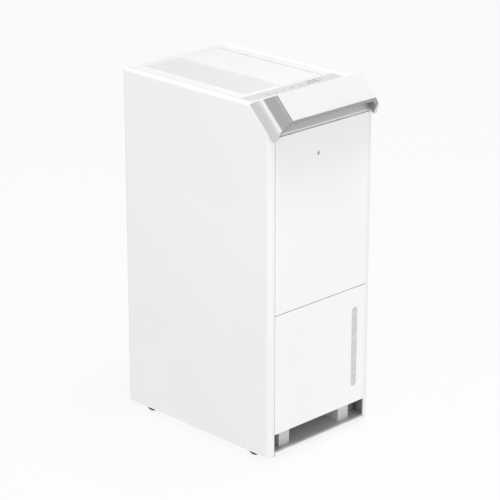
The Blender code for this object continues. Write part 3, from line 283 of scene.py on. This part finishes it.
def base_plastic():
    """White strip in front; painted shade within the finger slot: grey floor and blocks, and darker webs
    at its ends.
    """
    made, tree, shader, place = shader_of("base_moulding_painted_shade")
    split, half = split_place(tree, place)
    flow = noise(tree, place, 1.2 * FLOW_SCALE, 4.0)
    front = ramp(tree, flow, 0.83, 0.85)
    # Painted shade: grey floor and blocks within the slot, darker end webs where it is deepest
    floor = ramp(tree, flow, 0.58, 0.62)
    block_painted_shade = ramp(tree, flow, 0.60, 0.63)
    web_painted_shade = ramp(tree, flow, 0.20, 0.23)
    raised = mixed(tree, beyond(tree, half, WEB_START), block_painted_shade, web_painted_shade)
    slot_painted_shade = mixed(tree, beyond(tree, split.outputs["Z"], STRIP_TOP + 0.001), floor, raised)
    tint = mixed(tree, beyond(tree, split.outputs["Y"], FRONT_LOW.y + 0.0008), front, slot_painted_shade)
    tree.links.new(tint, shader.inputs["Base Color"])
    skin(tree, shader, place, (0.40, 0.50))
    return made


WHITE = moulded("white_shell", (0.82, 0.82, 0.82), 0.42)
DECK = deck_plastic()
SIDE = side_plastic()
FASCIA = moulded("white_fascia", (0.86, 0.86, 0.86), 0.46, 0.00002)
PALE_GREY = moulded("pale_grey_panel", (0.56, 0.56, 0.565), 0.38)
GRILLE_GREY = moulded("grille_grey", (0.74, 0.74, 0.74), 0.45)
INNER = moulded("inner_moulding", (0.72, 0.72, 0.70), 0.55)
LENS = moulded("display_lens", (0.58, 0.58, 0.59), 0.16, 0.00001)
PRINT = moulded("grey_print", (0.30, 0.30, 0.31), 0.55, 0.00001)
SEGMENT = moulded("display_segment", (0.05, 0.05, 0.055), 0.40, 0.00001)
VISOR = visor_with_painted_light()
COVER = moulded("visor_plate", (0.60, 0.60, 0.60), 0.42)
BASE = base_plastic()
RUBBER = moulded("black_rubber_grain", (0.009, 0.009, 0.009), 0.80, 0.00012, 700.0, 0.15)
STEEL = metal("plain_steel", (0.62, 0.62, 0.63), 0.30, (1, 1, 14))
ENAMEL = metal("black_enamel", (0.035, 0.035, 0.038), 0.42, (1, 1, 1), 300.0, 0.2, 0.00006)
FINS = metal("fin_stock", (0.80, 0.81, 0.82), 0.34, (14, 1, 1))
COPPER = metal("copper_tube", (0.74, 0.40, 0.24), 0.30, (1, 1, 6))
BOARD = moulded("solder_mask", (0.04, 0.20, 0.09), 0.35, 0.00003, 900.0, 0.2)
FOAM = moulded("float_foam_grain", (0.42, 0.60, 0.74), 0.75, 0.0003, 500.0, 0.05)
WINDOW = clear_plastic("level_window_frost", (0.65, 0.66, 0.67), 0.22, 0.9)
TANK = clear_plastic("tank_frost", (0.74, 0.79, 0.82), 0.25, 0.55)

FINISHES = {
    WHITE: ("rear_cover", "air_filter"),
    BASE: ("base_pan",),
    DECK: ("top_deck", "outlet_flap"),
    COVER: ("visor_cover",),
    SIDE: ("side_panel_left", "side_panel_right"),
    FASCIA: ("front_panel", "tank_front"),
    PALE_GREY: ("control_panel",),
    LENS: ("display_window",),
    VISOR: ("visor_handle",),
    WINDOW: ("level_window",),
    TANK: ("tank_bucket",),
    INNER: (
        "tank_lid",
        "bulkhead",
        "drip_tray",
        "fan_housing",
        "fan_impeller",
        "outlet_duct",
        "humidity_sensor",
    ),
    RUBBER: (
        "cord_gland",
        "drain_cap",
        "compressor_grommet_1",
        "compressor_grommet_2",
        "compressor_grommet_3",
    ),
    STEEL: ("axle_front_left", "axle_front_right", "axle_rear_left", "axle_rear_right", "fan_motor"),
    ENAMEL: ("compressor", "accumulator", "motor_mount", "tank_switch"),
    FINS: ("evaporator", "condenser", "run_capacitor"),
    COPPER: ("compressor_inlet_pipe", "discharge_line", "suction_line", "capillary_tube"),
    BOARD: ("control_board",),
    FOAM: ("tank_float",),
}
EDGE_ROUNDING = {
    "side_panel_left": 0.0008,
    "side_panel_right": 0.0008,
    "front_panel": 0.0008,
    "tank_front": 0.0008,
    "top_deck": 0.0007,
    "rear_cover": 0.0008,
    "base_pan": 0.0007,
    "visor_handle": 0.0012,
    "visor_cover": 0.0007,
    "outlet_flap": 0.0005,
    "control_panel": 0.0003,
    "air_filter": 0.0004,
    "tank_lid": 0.0006,
    "tank_bucket": 0.0006,
}


def dress_nodes():
    """Materials on the CAD nodes, and a small moulded radius on their sharp edges."""
    for finish, names in FINISHES.items():
        for name in names:
            slots = nodes[name].data.materials
            if len(slots) == 0:
                slots.append(finish)
            for index in range(len(slots)):
                slots[index] = finish
    for name, width in EDGE_ROUNDING.items():
        weld = nodes[name].modifiers.new("weld", "WELD")
        weld.merge_threshold = 0.00001
        soft = nodes[name].modifiers.new("edge_radius", "BEVEL")
        soft.width = width
        soft.segments = 2
        soft.limit_method = "ANGLE"
        soft.angle_limit = math.radians(28)
        soft.harden_normals = True
        soft.use_clamp_overlap = True


# ---------------------------------------------------------------- mesh helpers


def piece(name, vertices, faces, finish, body="cabinet", smooth=None):
    """New mesh object that rides on a body; smooth is the angle over which edges stay sharp."""
    mesh = bpy.data.meshes.new(name)
    mesh.from_pydata([tuple(v) for v in vertices], [], faces)
    shell = bmesh.new()
    shell.from_mesh(mesh)
    bmesh.ops.recalc_face_normals(shell, faces=shell.faces)
    shell.to_mesh(mesh)
    shell.free()
    mesh.materials.append(finish)
    made = bpy.data.objects.new(name, mesh)
    bpy.context.collection.objects.link(made)
    if smooth:
        mesh.shade_smooth()
        mesh.set_sharp_from_angle(angle=math.radians(smooth))
    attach(made, body)
    return made


def rectangle(across, along):
    return [(across[0], along[0]), (across[1], along[0]), (across[1], along[1]), (across[0], along[1])]


def flat(a, b, height):
    return a, b, height


def upright(a, b, height):
    return a, height, b


def slabs(outlines, low, high, place):
    """Vertices and faces of straight prisms from flat outlines; place maps (a, b, height)."""
    vertices = []
    faces = []
    for outline in outlines:
        base = len(vertices)
        count = len(outline)
        vertices += [place(a, b, h) for h in (low, high) for a, b in outline]
        faces.append(tuple(base + i for i in range(count)))
        faces.append(tuple(base + count + i for i in range(count)))
        for i in range(count):
            j = (i + 1) % count
            faces.append((base + i, base + j, base + count + j, base + count + i))
    return vertices, faces


def turned(profile, place, segments=48):
    """Ring-shaped or solid lathe shape; profile is (radius, height) pairs, place maps (x, y, h)."""
    vertices = []
    rings = []
    for radius, height in profile:
        count = 1 if radius == 0 else segments
        rings.append(range(len(vertices), len(vertices) + count))
        for k in range(count):
            angle = 2 * math.pi * k / segments
            vertices.append(place(radius * math.cos(angle), radius * math.sin(angle), height))
    pairs = list(zip(rings, rings[1:]))
    if profile[0][0] > 0:
        pairs.append((rings[-1], rings[0]))
    faces = []
    for lower, upper in pairs:
        for k in range(segments):
            following = (k + 1) % segments
            face = [lower[k % len(lower)], lower[following % len(lower)]]
            face += [upper[following % len(upper)], upper[k % len(upper)]]
            faces.append(tuple(dict.fromkeys(face)))
    return vertices, faces


def arc(centre, radius, start, end, steps):
    for k in range(steps + 1):
        angle = math.radians(start + (end - start) * k / steps)
        yield centre[0] + radius * math.cos(angle), centre[1] + radius * math.sin(angle)


def band(centre, radius, width, start, end, steps=20):
    """Outline of a curved stroke."""
    outer = list(arc(centre, radius + width / 2, start, end, steps))
    inner = list(arc(centre, radius - width / 2, end, start, steps))
    return outer + inner


def stroke(start, end, width):
    along = (Vector(end) - Vector(start)).normalized() * (width / 2)
    across = Vector((-along.y, along.x))
    a, b = Vector(start), Vector(end)
    return [tuple(a + across), tuple(b + across), tuple(b - across), tuple(a - across)]


# ---------------------------------------------------------------- top deck


def outlet_grille():
    """Fine fixed outlet grille: a frame, slanted slats along the deck and two cross ribs."""
    frame_width = 0.004
    x = (GRILLE_LOW.x, GRILLE_HIGH.x)
    y = (GRILLE_LOW.y, GRILLE_HIGH.y)
    top = GRILLE_HIGH.z
    bottom = GRILLE_LOW.z
    inner_x = (x[0] + frame_width, x[1] - frame_width)
    inner_y = (y[0] + frame_width, y[1] - frame_width)
    rectangles = [
        rectangle(x, (y[0], inner_y[0])),
        rectangle(x, (inner_y[1], y[1])),
        rectangle((x[0], inner_x[0]), inner_y),
        rectangle((inner_x[1], x[1]), inner_y),
    ]
    vertices, faces = slabs(rectangles, bottom, top, flat)
    slats = 26
    pitch = (inner_x[1] - inner_x[0]) / slats
    half = pitch * 0.36
    lean = 0.0006
    for i in range(slats):
        centre = inner_x[0] + (i + 0.5) * pitch
        base = len(vertices)
        for shift, z in ((lean, bottom), (-lean, top - 0.0003)):
            for end, turn in ((inner_y[0], 1), (inner_y[1], -1)):
                for offset in (-half * turn, half * turn):
                    vertices.append((centre + shift + offset, end, z))
        quads = [(0, 1, 2, 3), (4, 5, 6, 7), (0, 1, 5, 4), (1, 2, 6, 5), (2, 3, 7, 6), (3, 0, 4, 7)]
        faces += [tuple(base + q for q in quad) for quad in quads]
    for share in (1 / 3, 2 / 3):
        middle = inner_y[0] + share * (inner_y[1] - inner_y[0])
        rib = rectangle(inner_x, (middle - 0.001, middle + 0.001))
        rib_vertices, rib_faces = slabs([rib], bottom, bottom + 0.0012, flat)
        base = len(vertices)
        vertices += rib_vertices
        faces += [tuple(base + i for i in face) for face in rib_faces]
    made = piece("fine_outlet_grille", vertices, faces, GRILLE_GREY)
    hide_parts("outlet_grille")


def flap_ledge():
    """Narrow ledge under the flap's rim, which closes the gap around it."""
    low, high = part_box("outlet_flap")
    out = 0.0009
    rim = 0.003
    x = (low.x - out, high.x + out)
    y = (GRILLE_LOW.y - out, GRILLE_HIGH.y + out)
    bars = [
        rectangle(x, (y[0], y[0] + rim)),
        rectangle(x, (y[1] - rim, y[1])),
        rectangle((x[0], x[0] + rim), (y[0] + rim, y[1] - rim)),
        rectangle((x[1] - rim, x[1]), (y[0] + rim, y[1] - rim)),
    ]
    top = high.z - 0.0034
    vertices, faces = slabs(bars, top - 0.0012, top, flat)
    piece("flap_ledge", vertices, faces, DECK)


def touch_icons():
    """Row of plain printed touch symbols on the control strip."""
    middle = (PANEL_LOW.y + PANEL_HIGH.y) / 2 - 0.003
    size = 0.0027
    width = 0.0007
    first, last = -0.062, 0.036
    count = 6
    outlines = []
    for k in range(count):
        x = first + (last - first) * k / (count - 1)
        centre = (x, middle)
        if k == 0:
            outlines.append(band(centre, size, width, 120, 420))
            outlines.append(stroke((x, middle + 0.0005), (x, middle + size + 0.0008), width))
        elif k == 1:
            outlines.append(band((x, middle - 0.0006), size * 0.75, width, 140, 400))
            outlines.append(stroke((x - 0.0018, middle + 0.0008), (x, middle + size + 0.0006), width))
            outlines.append(stroke((x + 0.0018, middle + 0.0008), (x, middle + size + 0.0006), width))
        elif k == 2:
            for blade in range(3):
                turn = 120 * blade
                spoke = math.radians(turn)
                hub = (x + 0.0016 * math.cos(spoke), middle + 0.0016 * math.sin(spoke))
                outlines.append(band(hub, 0.0012, width, turn - 100, turn + 120, 10))
        elif k == 3:
            outlines.append(band(centre, size, width, 0, 175))
            outlines.append(band(centre, size, width, 185, 355))
            outlines.append(stroke(centre, (x, middle + size * 0.6), width))
            outlines.append(stroke(centre, (x + size * 0.5, middle), width))
        elif k == 4:
            for row in (-1, 0, 1):
                level = middle + row * 0.0018
                outlines.append(stroke((x - size, level), (x + size, level), width))
        else:
            outlines.append(rectangle((x - 0.0024, x + 0.0024), (middle - 0.0026, middle + 0.0008)))
            outlines.append(band((x, middle + 0.0012), 0.0016, width, 0, 180, 12))
    top = PANEL_HIGH.z
    vertices, faces = slabs(outlines, top - PRINT_DEPTH, top + PRINT_HEIGHT, flat)
    piece("touch_icons", vertices, faces, PRINT)


SEGMENTS = {
    "top": ((0, 2), (1, 2)),
    "upper_left": ((0, 1), (0, 2)),
    "upper_right": ((1, 1), (1, 2)),
    "middle": ((0, 1), (1, 1)),
    "lower_left": ((0, 0), (0, 1)),
    "lower_right": ((1, 0), (1, 1)),
    "bottom": ((0, 0), (1, 0)),
}
FIVE = ("top", "upper_left", "middle", "lower_right", "bottom")
SIX = ("top", "upper_left", "middle", "lower_left", "lower_right", "bottom")


def display_digits():
    """Two seven-segment digits under the lens' surface."""
    high = LENS_HIGH.y - LENS_LOW.y - 0.004
    wide = high * 0.72
    bar = 0.0020
    cut = bar * 0.55
    outlines = []
    middle = (LENS_LOW.x + LENS_HIGH.x) / 2
    for digit, x in ((FIVE, middle - wide - 0.0025), (SIX, middle + 0.0025)):
        for name in digit:
            (x0, y0), (x1, y1) = SEGMENTS[name]
            start = Vector((x + x0 * wide, LENS_LOW.y + 0.002 + y0 * high / 2))
            end = Vector((x + x1 * wide, LENS_LOW.y + 0.002 + y1 * high / 2))
            along = (end - start).normalized()
            across = Vector((-along.y, along.x)) * (bar / 2)
            a = start + along * cut
            b = end - along * cut
            tip = along * (bar / 2)
            corners = (a, a + tip + across, b - tip + across, b, b - tip - across, a + tip - across)
            outlines.append([tuple(corner) for corner in corners])
    top = LENS_HIGH.z
    vertices, faces = slabs(outlines, top - PRINT_DEPTH, top + PRINT_DEPTH, flat)
    piece("display_digits", vertices, faces, SEGMENT)


# ---------------------------------------------------------------- front, rear and underside


def front_mark():
    """Small plain water-drop symbol on the front panel."""
    centre = (-0.012, FRONT_HIGH.z - 0.047)
    size = 0.0026
    drop = list(arc(centre, size, -210, 30, 18)) + [(centre[0], centre[1] + size * 2.1)]
    face = FRONT_LOW.y
    vertices, faces = slabs([drop], face + PRINT_DEPTH, face - 0.00015, upright)
    piece("drop_mark", vertices, faces, PRINT)


def wheel(name):
    """Solid rubber roller with a rounded tread, a groove and a recessed hub."""
    low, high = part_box("wheel_" + name)
    middle = (Vector(low) + Vector(high)) / 2
    radius = (high.z - low.z) / 2
    half = (high.x - low.x) / 2
    bore = radius * 0.145
    profile = [(bore, -half * 0.8), (radius * 0.55, -half * 0.8), (radius * 0.60, -half)]
    profile += [(radius * 0.86, -half), (radius * 0.95, -half * 0.86), (radius, -half * 0.55)]
    profile += [(radius, -half * 0.1), (radius * 0.965, 0), (radius, half * 0.1), (radius, half * 0.55)]
    profile += [(radius * 0.95, half * 0.86), (radius * 0.86, half), (radius * 0.60, half)]
    profile += [(radius * 0.55, half * 0.8), (bore, half * 0.8)]
    place = lambda a, b, h: (middle.x + h, middle.y + a, middle.z + b)
    vertices, faces = turned(profile, place, 56)
    made = piece("roller_" + name + "_tyre", vertices, faces, RUBBER, "roller_" + name, 40)
    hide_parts("wheel_" + name)


def screws():
    """Cross-head screws that hold the rear cover and the base."""
    radius = 0.0035
    spots = []
    rows = (0.04, 0.36, 0.96)
    for x in (-0.100, 0.100):
        for share in rows:
            spots.append((x, REAR_LOW.z + share * (REAR_HIGH.z - REAR_LOW.z)))
    profile = [(0, -0.0006), (radius, -0.0006), (radius, 0.0002), (radius * 0.8, 0.0006), (0, 0.0006)]
    for number, (x, z) in enumerate(spots):
        place = lambda a, b, h, x=x, z=z: (x + a, REAR_HIGH.y - 0.0004 + h, z + b)
        vertices, faces = turned(profile, place, 24)
        made = piece(f"rear_screw_{number + 1}", vertices, faces, STEEL, "cabinet", 30)
        cross = []
        for angle in (0, 90):
            turn = math.radians(angle)
            reach = Vector((math.cos(turn), math.sin(turn))) * radius * 0.55
            cross.append(stroke((x - reach.x, z - reach.y), (x + reach.x, z + reach.y), 0.0009))
        level = REAR_HIGH.y + 0.00022
        vertices, faces = slabs(cross, level, level + 0.00005, upright)
        piece(f"rear_screw_{number + 1}_cross", vertices, faces, SEGMENT)


def filter_net():
    """Fine woven net behind the filter's slats."""
    made, tree, shader, place = shader_of("filter_weave")
    shader.inputs["Roughness"].default_value = 0.7
    split = split_place(tree, place)[0]
    half_mesh = 0.0006
    thread_start = 0.00042
    both = tree.nodes.new("ShaderNodeMath")
    both.operation = "MAXIMUM"
    for index, axis in enumerate(("X", "Z")):
        wave = tree.nodes.new("ShaderNodeMath")
        wave.operation = "PINGPONG"
        wave.inputs[1].default_value = half_mesh
        tree.links.new(split.outputs[axis], wave.inputs[0])
        tree.links.new(beyond(tree, wave.outputs[0], thread_start), both.inputs[index])
    tree.links.new(both.outputs[0], shader.inputs["Alpha"])
    tone = noise(tree, place, 40.0)
    tree.links.new(ramp(tree, tone, 0.10, 0.16), shader.inputs["Base Color"])
    margin = 0.004
    outline = rectangle(
        (FILTER_LOW.x + margin, FILTER_HIGH.x - margin),
        (FILTER_LOW.z + margin, FILTER_HIGH.z - margin),
    )
    level = FILTER_LOW.y - 0.0002
    vertices, faces = slabs([outline], level - 0.0003, level, upright)
    piece("filter_net", vertices, faces, made, "filter")


# ---------------------------------------------------------------- studio


def softbox(name, spot, aim, size, power):
    light = bpy.data.lights.new(name, "AREA")
    light.shape = "RECTANGLE"
    light.size = size[0]
    light.size_y = size[1]
    light.energy = power
    lamp = bpy.data.objects.new(name, light)
    bpy.context.collection.objects.link(lamp)
    lamp.location = spot
    lamp.rotation_euler = (Vector(aim) - Vector(spot)).to_track_quat("-Z", "Y").to_euler()


def studio():
    """Evenly lit room, plain pale floor, soft boxes and the camera."""
    scene = bpy.context.scene
    scene.view_settings.view_transform = "Standard"
    scene.view_settings.look = "None"
    world = bpy.data.worlds.new("studio")
    world.use_nodes = True
    world.node_tree.nodes["Background"].inputs["Color"].default_value = (1.0, 1.0, 1.0, 1.0)
    world.node_tree.nodes["Background"].inputs["Strength"].default_value = ROOM_LIGHT
    scene.world = world

    made, tree, shader, place = shader_of("studio_floor")
    tone = noise(tree, place, 3.0)
    tree.links.new(ramp(tree, tone, 0.040, 0.042), shader.inputs["Base Color"])
    shader.inputs["Roughness"].default_value = 0.9
    shader.inputs["Emission Color"].default_value = (1.0, 1.0, 1.0, 1.0)
    shader.inputs["Emission Strength"].default_value = FLOOR_LIGHT
    mesh = bpy.data.meshes.new("studio_floor")
    reach = (-FLOOR_REACH, FLOOR_REACH)
    corners = [(x, y, 0) for x, y in rectangle(reach, reach)]
    mesh.from_pydata(corners, [], [(0, 1, 2, 3)])
    mesh.materials.append(made)
    floor = bpy.data.objects.new("studio_floor", mesh)
    bpy.context.collection.objects.link(floor)

    for name, values in SOFTBOXES.items():
        softbox(name, *values)

    camera = bpy.data.cameras.new("camera")
    camera.lens = CAMERA_LENS
    camera.sensor_width = SENSOR
    eye = bpy.data.objects.new("camera", camera)
    bpy.context.collection.objects.link(eye)
    eye.location = CAMERA_SPOT
    eye.rotation_euler = (math.radians(90 - CAMERA_PITCH), 0, -math.radians(CAMERA_YAW))
    scene.camera = eye


dress_nodes()
outlet_grille()
flap_ledge()
touch_icons()
display_digits()
front_mark()
for wheel_name in WHEELS:
    wheel(wheel_name)
screws()
filter_net()
studio()
